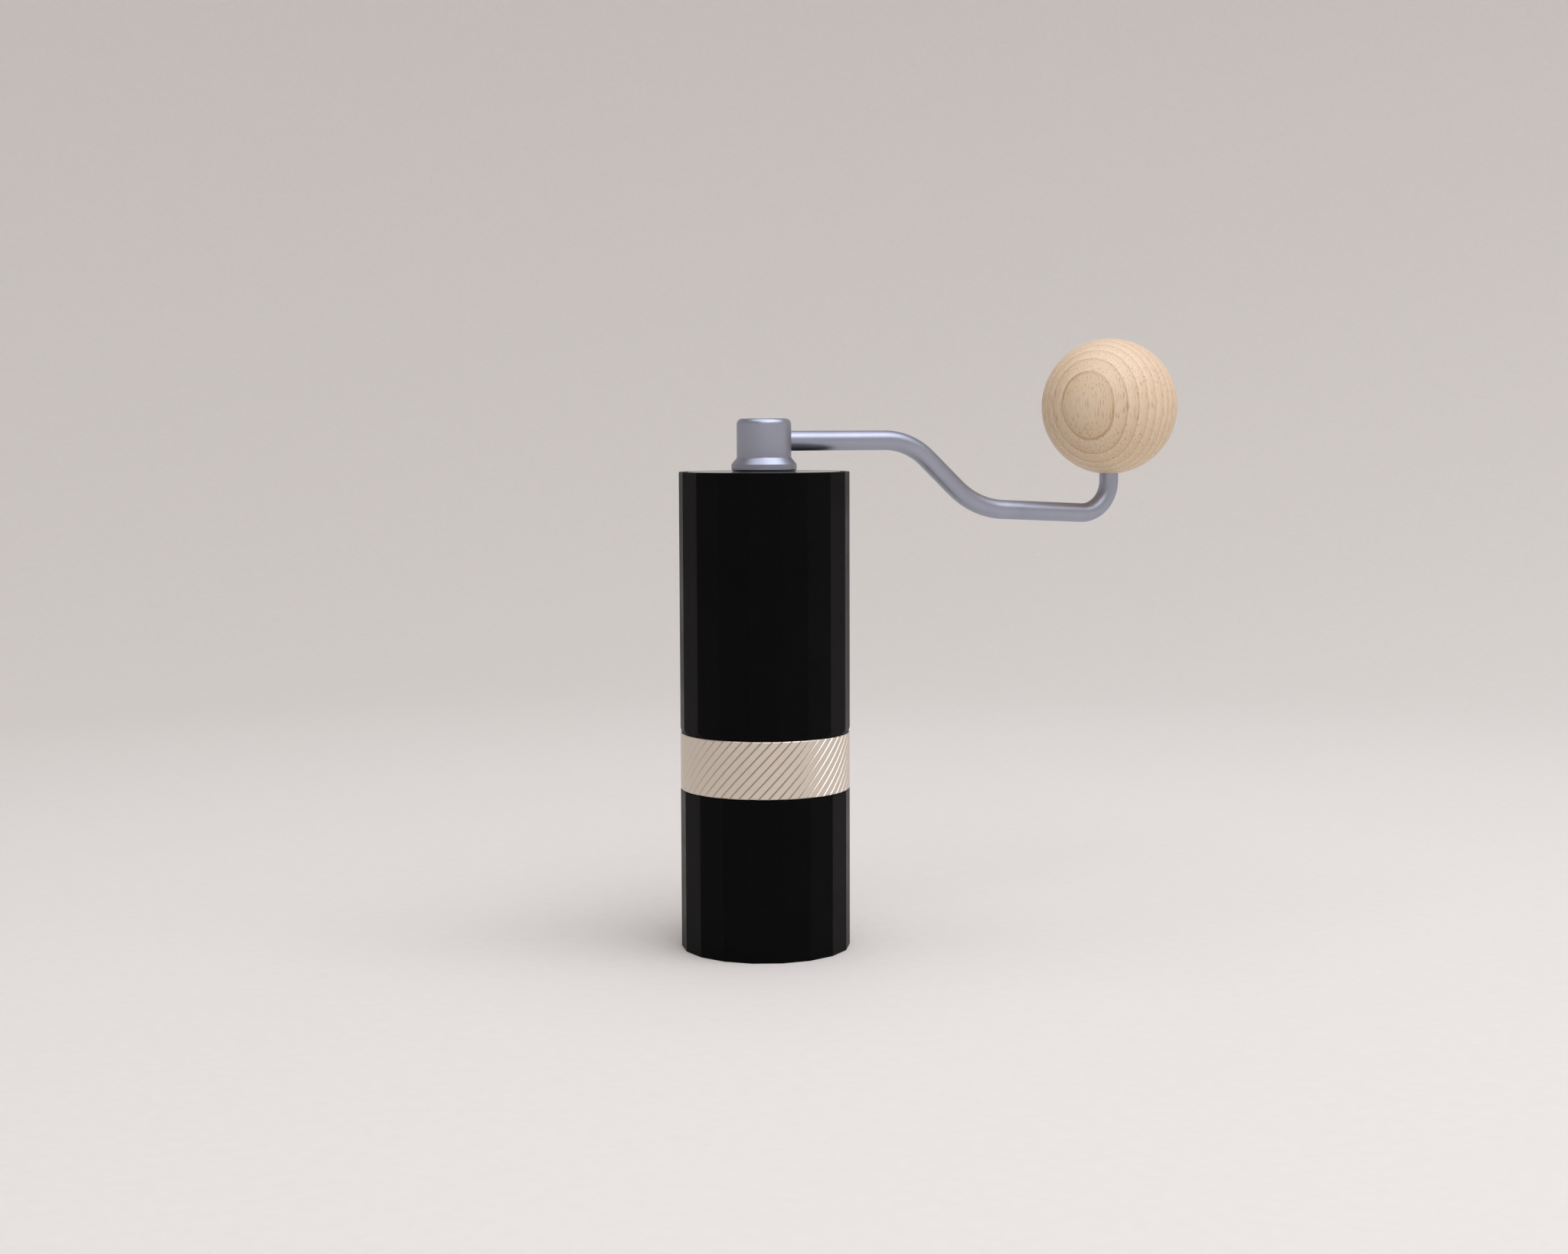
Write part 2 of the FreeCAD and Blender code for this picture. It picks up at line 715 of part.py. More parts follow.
ring_height = size("ring_height")
ring_bevel = size("ring_bevel")
ring_foot = grooved_outline(ring_radius - ring_bevel, 0)
ring_grip = [grooved_outline(ring_radius, ring_bevel + (ring_height - 2 * ring_bevel) * share)
             for share in shares(RING_STEPS)]
ring_head = grooved_outline(ring_radius - ring_bevel, ring_height)
ring_recess_radius = size("spigot_flange_radius + slide_gap")
ring_recess_top = size("spigot_top + ring_gap")
ring_top = size("ring_bottom + ring_height")
thread_radius = size("thread_radius")
ring_bore = Part.makePolygon([
    Vector(ring_recess_radius, 0, size("ring_bottom")),
    Vector(ring_recess_radius, 0, ring_recess_top),
    Vector(thread_radius, 0, ring_recess_top),
    Vector(thread_radius, 0, ring_top),
]).revolve(Vector(0, 0, 0), Vector(0, 0, 1), 360)
adjust_ring = made_shape("adjust_ring", closed_solid([
    flat_ring(ring_foot, round_outline(ring_recess_radius, size("ring_bottom"))),
    *skin([ring_foot, ring_grip[0]]),
    *skin(ring_grip, False),
    *skin([ring_grip[-1], ring_head]),
    flat_ring(ring_head, round_outline(thread_radius, ring_top)),
    *ring_bore.Faces,
]))

# Burr carrier: threaded in the ring, notched round the frame's legs, so it rises without turning
burr_carrier = turned_piece("burr_carrier", [
    ("burr_radius + seat_gap", "carrier_bottom"),
    ("carrier_radius", "carrier_bottom"),
    ("carrier_radius", "carrier_top"),
    ("burr_radius - carrier_ledge_width", "carrier_top"),
    ("burr_radius - carrier_ledge_width", "outer_burr_top"),
    ("burr_radius + seat_gap", "outer_burr_top"),
])
leg_notch = cut_pocket(burr_carrier, "leg_notch",
                       lambda sketch: draw_outline(sketch, box_outline("notch_inner", "ring_radius",
                                                                       "leg_width / 2 + slide_gap")),
                       "XY_Plane", "carrier_bottom", "carrier_height", True)
repeat_round(burr_carrier, [leg_notch], "holder_arm_count")
carrier_middle = "(carrier_bottom + carrier_top) / 2"
carrier_screw_hole = cut_pocket(
    burr_carrier, "screw_hole",
    lambda sketch: draw_circle(sketch, ("0", carrier_middle), "carrier_screw_diameter / 2 + seat_gap"),
    "YZ_Plane", "-carrier_radius", "carrier_radius - burr_radius + slide_gap", True)
repeat_round(burr_carrier, [carrier_screw_hole], "holder_arm_count")

# Grub screws that hold the outer burr in its carrier, opposite the notches
burr_grub_screws = new_body("burr_grub_screws")
grub_outer = "-(burr_radius + seat_gap + carrier_screw_length)"
sketch = new_sketch(burr_grub_screws, "outline", "YZ_Plane", grub_outer)
draw_circle(sketch, ("0", carrier_middle), "carrier_screw_diameter / 2")
grub = burr_grub_screws.newObject("PartDesign::Pad", "burr_grub_screws_one")
grub.Profile = sketch
grub.setExpression("Length", bound("carrier_screw_length"))
doc.recompute()
grub_key_outline = [(x, f"{carrier_middle} + {y}") for x, y in hexagon("carrier_screw_key")]
grub_key = cut_pocket(burr_grub_screws, "key", lambda sketch: draw_outline(sketch, grub_key_outline),
                      "YZ_Plane", grub_outer, "key_depth", True)
repeat_round(burr_grub_screws, [grub, grub_key], "holder_arm_count")


# Burrs: slanted saw teeth in a grinding band, coarse teeth or auger blades above it
def toothed_outlines(count, lean, depth, low, high):
    """Saw-tooth outlines from one (crest radius, height, turn) to another; a negative depth cuts inwards."""
    pitch = 2 * math.pi / count
    outlines = []
    for share in shares(TOOTH_STEPS):
        crest, height, turned = [start + (end - start) * share for start, end in zip(low, high)]
        corners = []
        for k in range(count):
            corners.append(polar_point(crest, k * pitch + turned, height))
            corners.append(polar_point(crest + depth, (k + lean) * pitch + turned, height))
        outlines.append(cornered_outline(corners))
    return outlines


burr_slope = math.tan(math.radians(size("burr_slope")))
tooth_depth = size("tooth_depth")
tooth_lean = size("tooth_lean")
tooth_twist = math.radians(size("tooth_twist"))
band_top = size("band_top")
burr_radius = size("burr_radius")
outer_bottom = size("outer_burr_bottom")
outer_top = size("outer_burr_top")
outer_crest = size("burr_radius - burr_rim")
outer_crest_top = outer_crest - size("grind_band") * burr_slope
outer_teeth = toothed_outlines(round(size("outer_tooth_count")), tooth_lean, tooth_depth,
                               (outer_crest, outer_bottom, 0), (outer_crest_top, band_top, tooth_twist))
throat_depth = size("throat_tooth_depth")
throat_crest = size("burr_radius - burr_throat_wall") - throat_depth
throat_start = outer_crest_top + tooth_depth + size("auger_step")
throat_teeth = toothed_outlines(round(size("throat_tooth_count")), tooth_lean, throat_depth,
                                (throat_start, band_top, tooth_twist),
                                (throat_crest, outer_top, 2 * tooth_twist))
burr_foot = round_outline(burr_radius, outer_bottom)
burr_head = round_outline(burr_radius, outer_top)
outer_burr = made_shape("outer_burr", closed_solid([
    flat_ring(burr_foot, outer_teeth[0]),
    *skin(outer_teeth),
    flat_ring(throat_teeth[0], outer_teeth[-1]),
    *skin(throat_teeth),
    flat_ring(burr_head, throat_teeth[-1]),
    *skin([burr_foot, burr_head]),
]))

inner_bottom = size("inner_burr_bottom")
inner_top = size("inner_burr_top")
inner_crest = outer_crest - size("burr_gap") + size("inner_burr_overhang") * burr_slope
inner_crest_top = inner_crest - (band_top - inner_bottom) * burr_slope
inner_teeth = toothed_outlines(round(size("inner_tooth_count")), 1 - tooth_lean, -tooth_depth,
                               (inner_crest, inner_bottom, 0), (inner_crest_top, band_top, -tooth_twist))
auger_foot = inner_crest_top - tooth_depth - size("auger_step")


def auger_outline(share):
    """Blades at a share of the way up the auger, with a broad back and a steep cutting face."""
    crest = auger_foot + (size("auger_top") - auger_foot) * share
    core = size("auger_core") + (size("auger_top_core") - size("auger_core")) * share
    blades = round(size("auger_blade_count"))
    pitch = 2 * math.pi / blades
    height = band_top + (inner_top - band_top) * share
    turned = -math.radians(size("auger_twist")) * share
    corners = []
    for k in range(blades):
        for radius, place in ((crest, 0), (crest, size("blade_land")), (core, size("blade_back")),
                              (core, size("blade_face"))):
            corners.append(polar_point(radius, (k + place) * pitch + turned, height))
    return cornered_outline(corners)


def hexagon_outline(flats, height):
    corners = [polar_point(flats / math.sqrt(3), math.radians(60 * k), height) for k in range(6)]
    return cornered_outline(corners)


burr_socket = size("drive_flats + 2 * seat_gap")
auger_blades = [auger_outline(share) for share in shares(AUGER_STEPS)]
socket_low = hexagon_outline(burr_socket, inner_bottom)
socket_high = hexagon_outline(burr_socket, inner_top)
inner_burr = made_shape("inner_burr", closed_solid([
    flat_ring(inner_teeth[0], socket_low),
    *skin(inner_teeth),
    flat_ring(inner_teeth[-1], auger_blades[0]),
    *skin(auger_blades),
    flat_ring(auger_blades[-1], socket_high),
    *skin([socket_low, socket_high]),
]))

# Drive shaft: hexagon through the inner burr, round through the bearings, hexagon up into the hub
drive_shaft = new_body("drive_shaft")
raise_pad(drive_shaft, "burr_hexagon", hexagon("drive_flats"), "inner_burr_bottom", "inner_burr_top")
turn(drive_shaft, "thread", [
    ("0", "shaft_bottom"),
    ("shaft_thread / 2", "shaft_bottom"),
    ("shaft_thread / 2", "inner_burr_bottom"),
    ("0", "inner_burr_bottom"),
])
turn(drive_shaft, "journals", [
    ("0", "inner_burr_top"),
    ("shaft_radius", "inner_burr_top"),
    ("shaft_radius", "frame_top"),
    ("shoulder_radius", "frame_top"),
    ("shoulder_radius", "bridge_bottom"),
    ("shaft_radius", "bridge_bottom"),
    ("shaft_radius", "hex_start"),
    ("0", "hex_start"),
])
raise_pad(drive_shaft, "crank_hexagon", hexagon("drive_flats"), "hex_start", "shaft_top")
burr_spacer = tube("burr_spacer", "shaft_radius + seat_gap", "bearing_ring_radius", "inner_burr_top",
                   "body_bottom + bearing_lip")
burr_washer = tube("burr_washer", "shaft_thread / 2 + thread_gap", "burr_washer_diameter / 2",
                   "inner_burr_bottom - burr_washer_thickness", "inner_burr_bottom")

# Burr nut: hexagon nut with turned corners
nut_top = "inner_burr_bottom - burr_washer_thickness"
nut_bottom = f"{nut_top} - nut_height"
nut_corner = "nut_flats / sqrt(3)"
nut_face = "nut_flats / 2 * nut_face_share"
nut_rise = f"({nut_corner} - {nut_face}) / 2"
nut_turning = turned_piece("burr_nut_turning", [
    ("shaft_thread / 2 + seat_gap", nut_bottom),
    (nut_face, nut_bottom),
    (nut_corner, f"{nut_bottom} + {nut_rise}"),
    (nut_corner, nut_top),
    ("shaft_thread / 2 + seat_gap", nut_top),
])
nut_bar = new_body("burr_nut_bar")
raise_pad(nut_bar, "hexagon", hexagon("nut_flats"), nut_bottom, nut_top)
burr_nut = doc.addObject("Part::Common", "burr_nut")
burr_nut.Base = nut_bar
burr_nut.Tool = nut_turning
burr_nut.Label = "burr_nut"

# Catch cup: same faceted bar as the body, recessed at the rim for the spigot
cup_turning = new_body("catch_cup_turning")
cup_base = turn(cup_turning, "turning", [
    ("0", "0"),
    ("turned_radius", "0"),
    ("turned_radius", "cup_height"),
    ("cup_recess_radius", "cup_height"),
    ("cup_recess_radius", "cup_shoulder"),
    ("cup_bore_radius", "cup_shoulder"),
    ("cup_bore_radius", "cup_floor"),
    ("0", "cup_floor"),
])
round_edge(cup_turning, "floor_fillet", cup_base, "cup_bore_radius", "cup_floor", "cup_floor_fillet")
magnet_pockets(cup_turning, "cup_shoulder", False)
catch_cup = faceted("catch_cup", cup_turning, "0", "cup_height", "cup_facet_turn")
cup_magnets = magnets("cup_magnets", "cup_shoulder - magnet_height")

# Lid: flush disc with a skirt and O-ring in the hopper's mouth, bushed for the crank's neck
seal_groove = "lid_seal_radius - o_ring_section / 2 - groove_gap"
seal_half = "(o_ring_section / 2 + groove_gap)"
lid_plate = turned_piece("lid_plate", [
    ("bush_radius", "lid_seat_height"),
    ("lid_skirt_radius - lid_skirt_wall", "lid_seat_height"),
    ("lid_skirt_radius - lid_skirt_wall", "lid_skirt_bottom"),
    ("lid_skirt_radius", "lid_skirt_bottom"),
    ("lid_skirt_radius", f"lid_seal_height - {seal_half}"),
    (seal_groove, f"lid_seal_height - {seal_half}"),
    (seal_groove, f"lid_seal_height + {seal_half}"),
    ("lid_skirt_radius", f"lid_seal_height + {seal_half}"),
    ("lid_skirt_radius", "lid_seat_height"),
    ("lid_radius", "lid_seat_height"),
    ("lid_radius", "body_top - edge_break"),
    ("lid_radius - edge_break", "body_top"),
    ("bush_radius", "body_top"),
])
lid_seal = o_ring("lid_seal", "lid_seal_radius", "lid_seal_height")
lid_bush = turned_piece("lid_bush", [
    ("bush_bore_radius", "bush_bottom"),
    ("bush_radius + lid_bush_flange", "bush_bottom"),
    ("bush_radius + lid_bush_flange", "lid_seat_height"),
    ("bush_radius - seat_gap", "lid_seat_height"),
    ("bush_radius - seat_gap", "body_top"),
    ("bush_bore_radius", "body_top"),
])

# Crank hub: turned neck, collar and head, with a hexagon socket below and the rod let in at the side
crank_hub = new_body("crank_hub")
hub_turning = turn(crank_hub, "turning", [
    ("0", "hub_bottom"),
    ("neck_radius", "hub_bottom"),
    ("neck_radius", "hub_clip_bottom"),
    ("neck_radius - circlip_groove_depth", "hub_clip_bottom"),
    ("neck_radius - circlip_groove_depth", "hub_clip_top"),
    ("neck_radius", "hub_clip_top"),
    ("neck_radius", "collar_bottom"),
    ("collar_diameter / 2 - edge_break", "collar_bottom"),
    ("collar_diameter / 2", "collar_bottom + edge_break"),
    ("collar_diameter / 2", "collar_bottom + collar_height"),
    ("hub_diameter / 2", "collar_bottom + collar_height + collar_slope"),
    ("hub_diameter / 2", "hub_top"),
    ("0", "hub_top"),
])
hub_rounded = round_edge(crank_hub, "top_fillet", hub_turning,
                         "hub_diameter / 2", "hub_top", "hub_top_fillet")
round_edge(crank_hub, "slope_fillet", hub_rounded,
           "hub_diameter / 2", "collar_bottom + collar_height + collar_slope", "collar_slope_fillet")
cut_pocket(crank_hub, "drive_socket",
           lambda sketch: draw_outline(sketch, hexagon("drive_flats + 2 * hex_gap")),
           "XY_Plane", "hub_bottom", "socket_top - hub_bottom", True)
cut_pocket(crank_hub, "rod_hole",
           lambda sketch: draw_circle(sketch, ("0", "rod_height"), "rod_diameter / 2 + seat_gap"),
           "YZ_Plane", "hub_diameter / 2", "rod_insert + seat_gap", False)
cut_pocket(crank_hub, "screw_hole",
           lambda sketch: draw_circle(sketch, ("0", "0"), "hub_screw_diameter / 2 + seat_gap"),
           "XY_Plane", "hub_top", "rod_depth - rod_diameter / 2", False)
hub_grub_screw = tube("hub_grub_screw", "0", "hub_screw_diameter / 2",
                      "rod_height + rod_diameter / 2 + seat_gap", "hub_top - hub_screw_recess")
cut_pocket(hub_grub_screw, "key", lambda sketch: draw_outline(sketch, hexagon("hub_screw_key")),
           "XY_Plane", "hub_top - hub_screw_recess", "key_depth", False)
hub_thrust_washer = tube("hub_thrust_washer", "neck_radius + seat_gap",
                         "collar_diameter / 2 - thrust_washer_set_in", "body_top", "collar_bottom")
hub_circlip = tube("hub_circlip", "neck_radius - circlip_groove_depth + seat_gap",
                   "neck_radius - circlip_groove_depth + circlip_width", "hub_clip_bottom", "hub_clip_top",
                   360 - size("circlip_opening"))

# Crank rod: straight out of the hub, down a slope, out again and up into the knob
drop_tangent = "upper_bend * tan(drop_slope * 1 deg / 2)"
upper_corner = f"(upper_run + {drop_tangent})"
slope_tan = "tan(drop_slope * 1 deg)"
lower_tan = "tan(lower_slope * 1 deg)"
lower_corner = (f"(({upper_corner} * {slope_tan} + crank_drop - crank_throw * {lower_tan})"
                f" / ({slope_tan} - {lower_tan}))")
lower_corner_height = f"(corner_height + (crank_throw - {lower_corner}) * {lower_tan})"
lower_tangent = "lower_bend * tan((drop_slope - lower_slope) * 1 deg / 2)"
corner_tangent = "corner_bend * tan((90 + lower_slope) * 1 deg / 2)"
rod_start = ("hub_diameter / 2 - rod_insert", "rod_height")
rod_points = [
    rod_start,
    ("upper_run", "rod_height"),
    (f"{upper_corner} + {drop_tangent} * cos(drop_slope * 1 deg)",
     f"rod_height - {drop_tangent} * sin(drop_slope * 1 deg)"),
    (f"{lower_corner} - {lower_tangent} * cos(drop_slope * 1 deg)",
     f"{lower_corner_height} + {lower_tangent} * sin(drop_slope * 1 deg)"),
    (f"{lower_corner} + {lower_tangent} * cos(lower_slope * 1 deg)",
     f"{lower_corner_height} - {lower_tangent} * sin(lower_slope * 1 deg)"),
    (f"crank_throw - {corner_tangent} * cos(lower_slope * 1 deg)",
     f"corner_height + {corner_tangent} * sin(lower_slope * 1 deg)"),
    ("crank_throw", f"corner_height + {corner_tangent}"),
    ("crank_throw", "rod_shoulder"),
]
rod_corners = {
    1: (upper_corner, "rod_height", "upper_bend"),
    3: (lower_corner, lower_corner_height, "lower_bend"),
    5: ("crank_throw", "corner_height", "corner_bend"),
}


def bend_arc(start, corner, end, radius):
    """Arc between two tangent points of a corner."""
    inward = (start - corner).normalize() + (end - corner).normalize()
    half_angle = (start - corner).getAngle(end - corner) / 2
    reach = radius / math.sin(half_angle) - radius
    return Part.Arc(start, corner + inward.normalize() * reach, end)


crank_arm = new_body("crank_arm")
rod_path = new_sketch(crank_arm, "path", "XZ_Plane")
rod_vectors = [Vector(size(x), size(y), 0) for x, y in rod_points]
for k in range(len(rod_points) - 1):
    ends = rod_vectors[k], rod_vectors[k + 1]
    if k in rod_corners:
        x, y, radius = rod_corners[k]
        arc = bend_arc(ends[0], Vector(size(x), size(y), 0), ends[1], size(radius))
        geometry = rod_path.addGeometry(arc, False)
        index = rod_path.addConstraint(Sketcher.Constraint("Radius", geometry, size(radius)))
        rod_path.setExpression(f"Constraints[{index}]", bound(radius))
    else:
        geometry = rod_path.addGeometry(Part.LineSegment(*ends), False)
    first_end = 1 if rod_path.getPoint(geometry, 1).distanceToPoint(ends[0]) < 1e-6 else 2
    pin_point(rod_path, geometry, first_end, rod_points[k])
    pin_point(rod_path, geometry, 3 - first_end, rod_points[k + 1])
rod_section = new_sketch(crank_arm, "section", "YZ_Plane", rod_start[0])
draw_circle(rod_section, ("0", "rod_height"), "rod_diameter / 2")
doc.recompute()
rod = crank_arm.newObject("PartDesign::AdditivePipe", "crank_arm_rod")
rod.Profile = rod_section
rod.Spine = (rod_path, [f"Edge{k + 1}" for k in range(len(rod_points) - 1)])
doc.recompute()


# Spindle turned on the rod's end, grooved for the circlip that keeps the knob on
def turn_on_throw(body, name, outline):
    sketch = new_sketch(body, name + "_outline", "XZ_Plane")
    draw_outline(sketch, [(f"crank_throw + {radius}", height) for radius, height in outline])
    feature = body.newObject("PartDesign::Revolution", f"{body.Name}_{name}")
    feature.Profile = sketch
    axis = sketch.addGeometry(Part.LineSegment(Vector(size("crank_throw"), 0, 0),
                                               Vector(size("crank_throw"), 10, 0)), True)
    pin_point(sketch, axis, 1, ("crank_throw", "0"))
    pin_point(sketch, axis, 2, ("crank_throw", "rod_height"))
    feature.ReferenceAxis = (sketch, ["Axis0"])
    feature.Angle = 360
    body.Tip = feature
    doc.recompute()
    return feature


turn_on_throw(crank_arm, "spindle", [
    ("0", "rod_shoulder"),
    ("spindle_radius", "rod_shoulder"),
    ("spindle_radius", "knob_clip_bottom"),
    ("spindle_radius - knob_clip_groove", "knob_clip_bottom"),
    ("spindle_radius - knob_clip_groove", "knob_clip_top"),
    ("spindle_radius", "knob_clip_top"),
    ("spindle_radius", "spindle_top"),
    ("0", "spindle_top"),
])


def throw_tube(name, inner, outer, bottom, top):
    body = new_body(name)
    turn_on_throw(body, "turning", [(inner, bottom), (outer, bottom), (outer, top), (inner, top)])
    return body


knob_washer = throw_tube("knob_washer", "spindle_radius + seat_gap", "rod_diameter / 2",
                         "rod_shoulder", "insert_bottom")
knob_circlip = throw_tube("knob_circlip", "spindle_radius - knob_clip_groove + seat_gap",
                          "spindle_radius - knob_clip_groove + knob_clip_width",
                          "knob_clip_bottom", "knob_clip_top")
knob_insert = throw_tube("knob_insert", "insert_bore_radius", "insert_radius - seat_gap",
                         "insert_bottom", "insert_top")

# Knob: turned ball with a blind bore for the insert
ball = doc.addObject("Part::Sphere", "knob_ball_blank")
ball.setExpression("Radius", bound("ball_diameter / 2"))
ball.setExpression("Placement.Base.x", bound("crank_throw"))
ball.setExpression("Placement.Base.z", bound("ball_height"))
ball_bore = doc.addObject("Part::Cylinder", "knob_ball_bore")
ball_bore.setExpression("Radius", bound("insert_radius"))
ball_bore.setExpression("Height", bound("knob_bore_top - ball_bottom + knob_recess"))
ball_bore.setExpression("Placement.Base.x", bound("crank_throw"))
ball_bore.setExpression("Placement.Base.z", bound("ball_bottom - knob_recess"))
knob_ball = doc.addObject("Part::Cut", "knob_ball")
knob_ball.Base = ball
knob_ball.Tool = ball_bore
knob_ball.Label = "knob_ball"
doc.recompute()

# Every piece, in the order it comes off, with the number of separate solids in it
arm_count = round(size("holder_arm_count"))
magnet_count = round(size("magnet_count"))
pieces = [
    (knob_ball, 1), (knob_insert, 1),
    (crank_hub, 1), (crank_arm, 1), (hub_grub_screw, 1), (hub_thrust_washer, 1), (hub_circlip, 1),
    (knob_washer, 1), (knob_circlip, 1),
    (lid_plate, 1), (lid_bush, 1), (lid_seal, 1),
    (upper_body, 1), (upper_bridge, 1), (bridge_circlip, 1), (upper_bearing_outer, 1),
    (lower_bearing_outer, 1), (lower_frame, 1), (cup_spigot, 1), (spigot_screws, arm_count),
    (spigot_magnets, magnet_count), (ring_drag_o_ring, 1),
    (drive_shaft, 1), (upper_bearing_inner, 1), (lower_bearing_inner, 1), (burr_spacer, 1),
    (inner_burr, 1), (burr_washer, 1), (burr_nut, 1),
    (adjust_ring, 1),
    (burr_carrier, 1), (outer_burr, 1), (burr_grub_screws, arm_count),
    (catch_cup, 1), (cup_magnets, magnet_count),
]
for item in doc.Objects:
    if "Invalid" in item.State or "Error" in item.State:
        raise RuntimeError(f"{item.Name} failed: {item.State}")
for piece, solids in pieces:
    shape = piece.Shape
    if shape.isNull() or not shape.isValid() or len(shape.Solids) != solids:
        raise RuntimeError(f"{piece.Label} is not {solids} sound solids")

os.makedirs("parts", exist_ok=True)
for piece, solids in pieces:
    piece.Shape.exportStep(f"parts/{piece.Label}.step")
    print(f"{piece.Label}: {solids} solid, {piece.Shape.Volume:.1f} mm3")
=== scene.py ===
import math

import bpy
from mathutils import Matrix, Vector


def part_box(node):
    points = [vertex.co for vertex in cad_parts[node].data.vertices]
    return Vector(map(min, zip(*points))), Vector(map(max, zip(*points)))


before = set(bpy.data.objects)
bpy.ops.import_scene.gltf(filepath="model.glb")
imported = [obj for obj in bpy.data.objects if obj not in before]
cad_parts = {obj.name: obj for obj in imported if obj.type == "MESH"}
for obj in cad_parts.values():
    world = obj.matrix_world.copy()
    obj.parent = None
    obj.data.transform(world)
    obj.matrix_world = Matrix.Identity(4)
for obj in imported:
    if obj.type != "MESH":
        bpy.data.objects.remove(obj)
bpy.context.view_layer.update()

# Body and catch cup: two lengths of eighteen-sided aluminium bar, bored out, fine blasted and
# dyed black in the anodising bath. The cup pushes onto the spigot under the adjusting ring.


def linear(code):
    """Linear colour of an sRGB hex code."""
    parts = [int(code[k:k + 2], 16) / 255 for k in (1, 3, 5)]
    return [c / 12.92 if c <= 0.04045 else ((c + 0.055) / 1.055) ** 2.4 for c in parts] + [1.0]


def connect(tree, node, inputs):
    """Set a node's inputs, each to a value or from another node's socket."""
    for name, value in inputs.items():
        if isinstance(value, bpy.types.NodeSocket):
            tree.links.new(value, node.inputs[name])
        else:
            node.inputs[name].default_value = value


def add(tree, kind, inputs, **settings):
    """One new node with its settings and inputs."""
    node = tree.nodes.new("ShaderNode" + kind)
    for name, value in settings.items():
        setattr(node, name, value)
    connect(tree, node, inputs)
    return node


def new_finish(name):
    """An empty material: its tree, its shader and the place on the piece in metres."""
    material = bpy.data.materials.new(name)
    material.use_nodes = True
    tree = material.node_tree
    shader = tree.nodes["Principled BSDF"]
    place = add(tree, "TexCoord", {}).outputs["Object"]
    return material, tree, shader, place


def dress(material, *names):
    """Give CAD pieces a finish."""
    for name in names:
        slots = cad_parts[name].data.materials
        slots.clear()
        slots.append(material)


# Black anodising is a hard, dyed, faintly grainy skin: deep black face on, with a weak, soft gloss
black_anodised, tree, shader, place = new_finish("black_anodised_aluminium")
grain_mm = 0.3  # blast grain is about 0.1 mm and is drawn coarser so that it shows
dye_patch_mm = 14.0
grain = add(tree, "TexNoise", {"Vector": place, "Scale": 1000 / grain_mm, "Detail": 2.0})
cloud = add(tree, "TexNoise", {"Vector": place, "Scale": 1000 / dye_patch_mm, "Detail": 3.0})
tone = add(tree, "Mix", {"Factor": cloud.outputs["Fac"], "A": linear("#050505"), "B": linear("#0a090a")},
           data_type="RGBA")
gloss = add(tree, "MapRange", {"Value": cloud.outputs["Fac"], "From Min": 0.3, "From Max": 0.7,
                               "To Min": 0.33, "To Max": 0.42})
bump = add(tree, "Bump", {"Height": grain.outputs["Fac"], "Strength": 0.12, "Distance": 0.00004})
connect(tree, shader, {"Base Color": tone.outputs["Result"], "Roughness": gloss.outputs["Result"],
                       "Normal": bump.outputs["Normal"], "IOR": 1.5, "Specular IOR Level": 0.04})
dress(black_anodised, "upper_body", "catch_cup")

# Adjusting ring: turned aluminium, blasted and clear anodised, with slanted grooves cut through the
# skin, whose floors are darkened with painted shade. It turns between the body and the cup.

# Blasted aluminium is pale and satin, here faintly warm; the cut grooves are shinier, and their floors
# are darkened with painted shade
satin_ring, tree, shader, place = new_finish("blasted_ring_aluminium")
grain_mm = 0.25  # blast grain is about 0.1 mm and is drawn coarser so that it shows
ring_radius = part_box("adjust_ring")[1].x
groove_floor_depth = 0.00024
groove_lip_depth = 0.00006
grain = add(tree, "TexNoise", {"Vector": place, "Scale": 1000 / grain_mm, "Detail": 2.0})
flat = add(tree, "VectorMath", {0: place, 1: (1, 1, 0)}, operation="MULTIPLY")
radius = add(tree, "VectorMath", {0: flat.outputs[0]}, operation="LENGTH")
land_vs_shaded_groove = add(tree, "MapRange", {"Value": radius.outputs["Value"],
                              "From Min": ring_radius - groove_floor_depth,
                              "From Max": ring_radius - groove_lip_depth})
# Painted shade: the groove floors take the darker colour, which fades to the land colour at the groove lips
tone = add(tree, "Mix", {"Factor": land_vs_shaded_groove.outputs["Result"], "A": linear("#bdb5ab"), "B": linear("#dad0c3")},
           data_type="RGBA")
gloss = add(tree, "MapRange", {"Value": land_vs_shaded_groove.outputs["Result"], "To Min": 0.28, "To Max": 0.42})
bump = add(tree, "Bump", {"Height": grain.outputs["Fac"], "Strength": 0.15, "Distance": 0.00003})
connect(tree, shader, {"Base Color": tone.outputs["Result"], "Roughness": gloss.outputs["Result"],
                       "Normal": bump.outputs["Normal"], "Metallic": 1.0})
dress(satin_ring, "adjust_ring")

# Bearing holders, cup spigot and burr carrier: turned and milled aluminium, left plain. The holders sit
# in the body's bore, the carrier slides on the lower holder's legs, and three screws hold the spigot to
# those legs.

# Machined aluminium is pale grey with the fine bright and dull lines of the lathe
machined, tree, shader, place = new_finish("machined_aluminium")
feed_mm = 0.35  # the lathe's feed is nearer 0.1 mm and is drawn coarser so that it shows
flat = add(tree, "VectorMath", {0: place, 1: (1, 1, 0)}, operation="MULTIPLY")
radius = add(tree, "VectorMath", {0: flat.outputs[0]}, operation="LENGTH")
height = add(tree, "SeparateXYZ", {"Vector": place})
feed = add(tree, "CombineXYZ", {"X": radius.outputs["Value"], "Y": height.outputs["Z"]})
lines = add(tree, "TexNoise", {"Vector": feed.outputs["Vector"], "Scale": 1000 / feed_mm, "Detail": 1.0})
tone = add(tree, "Mix", {"Factor": lines.outputs["Fac"], "A": linear("#aeb0b4"), "B": linear("#cfd0d2")},
           data_type="RGBA")
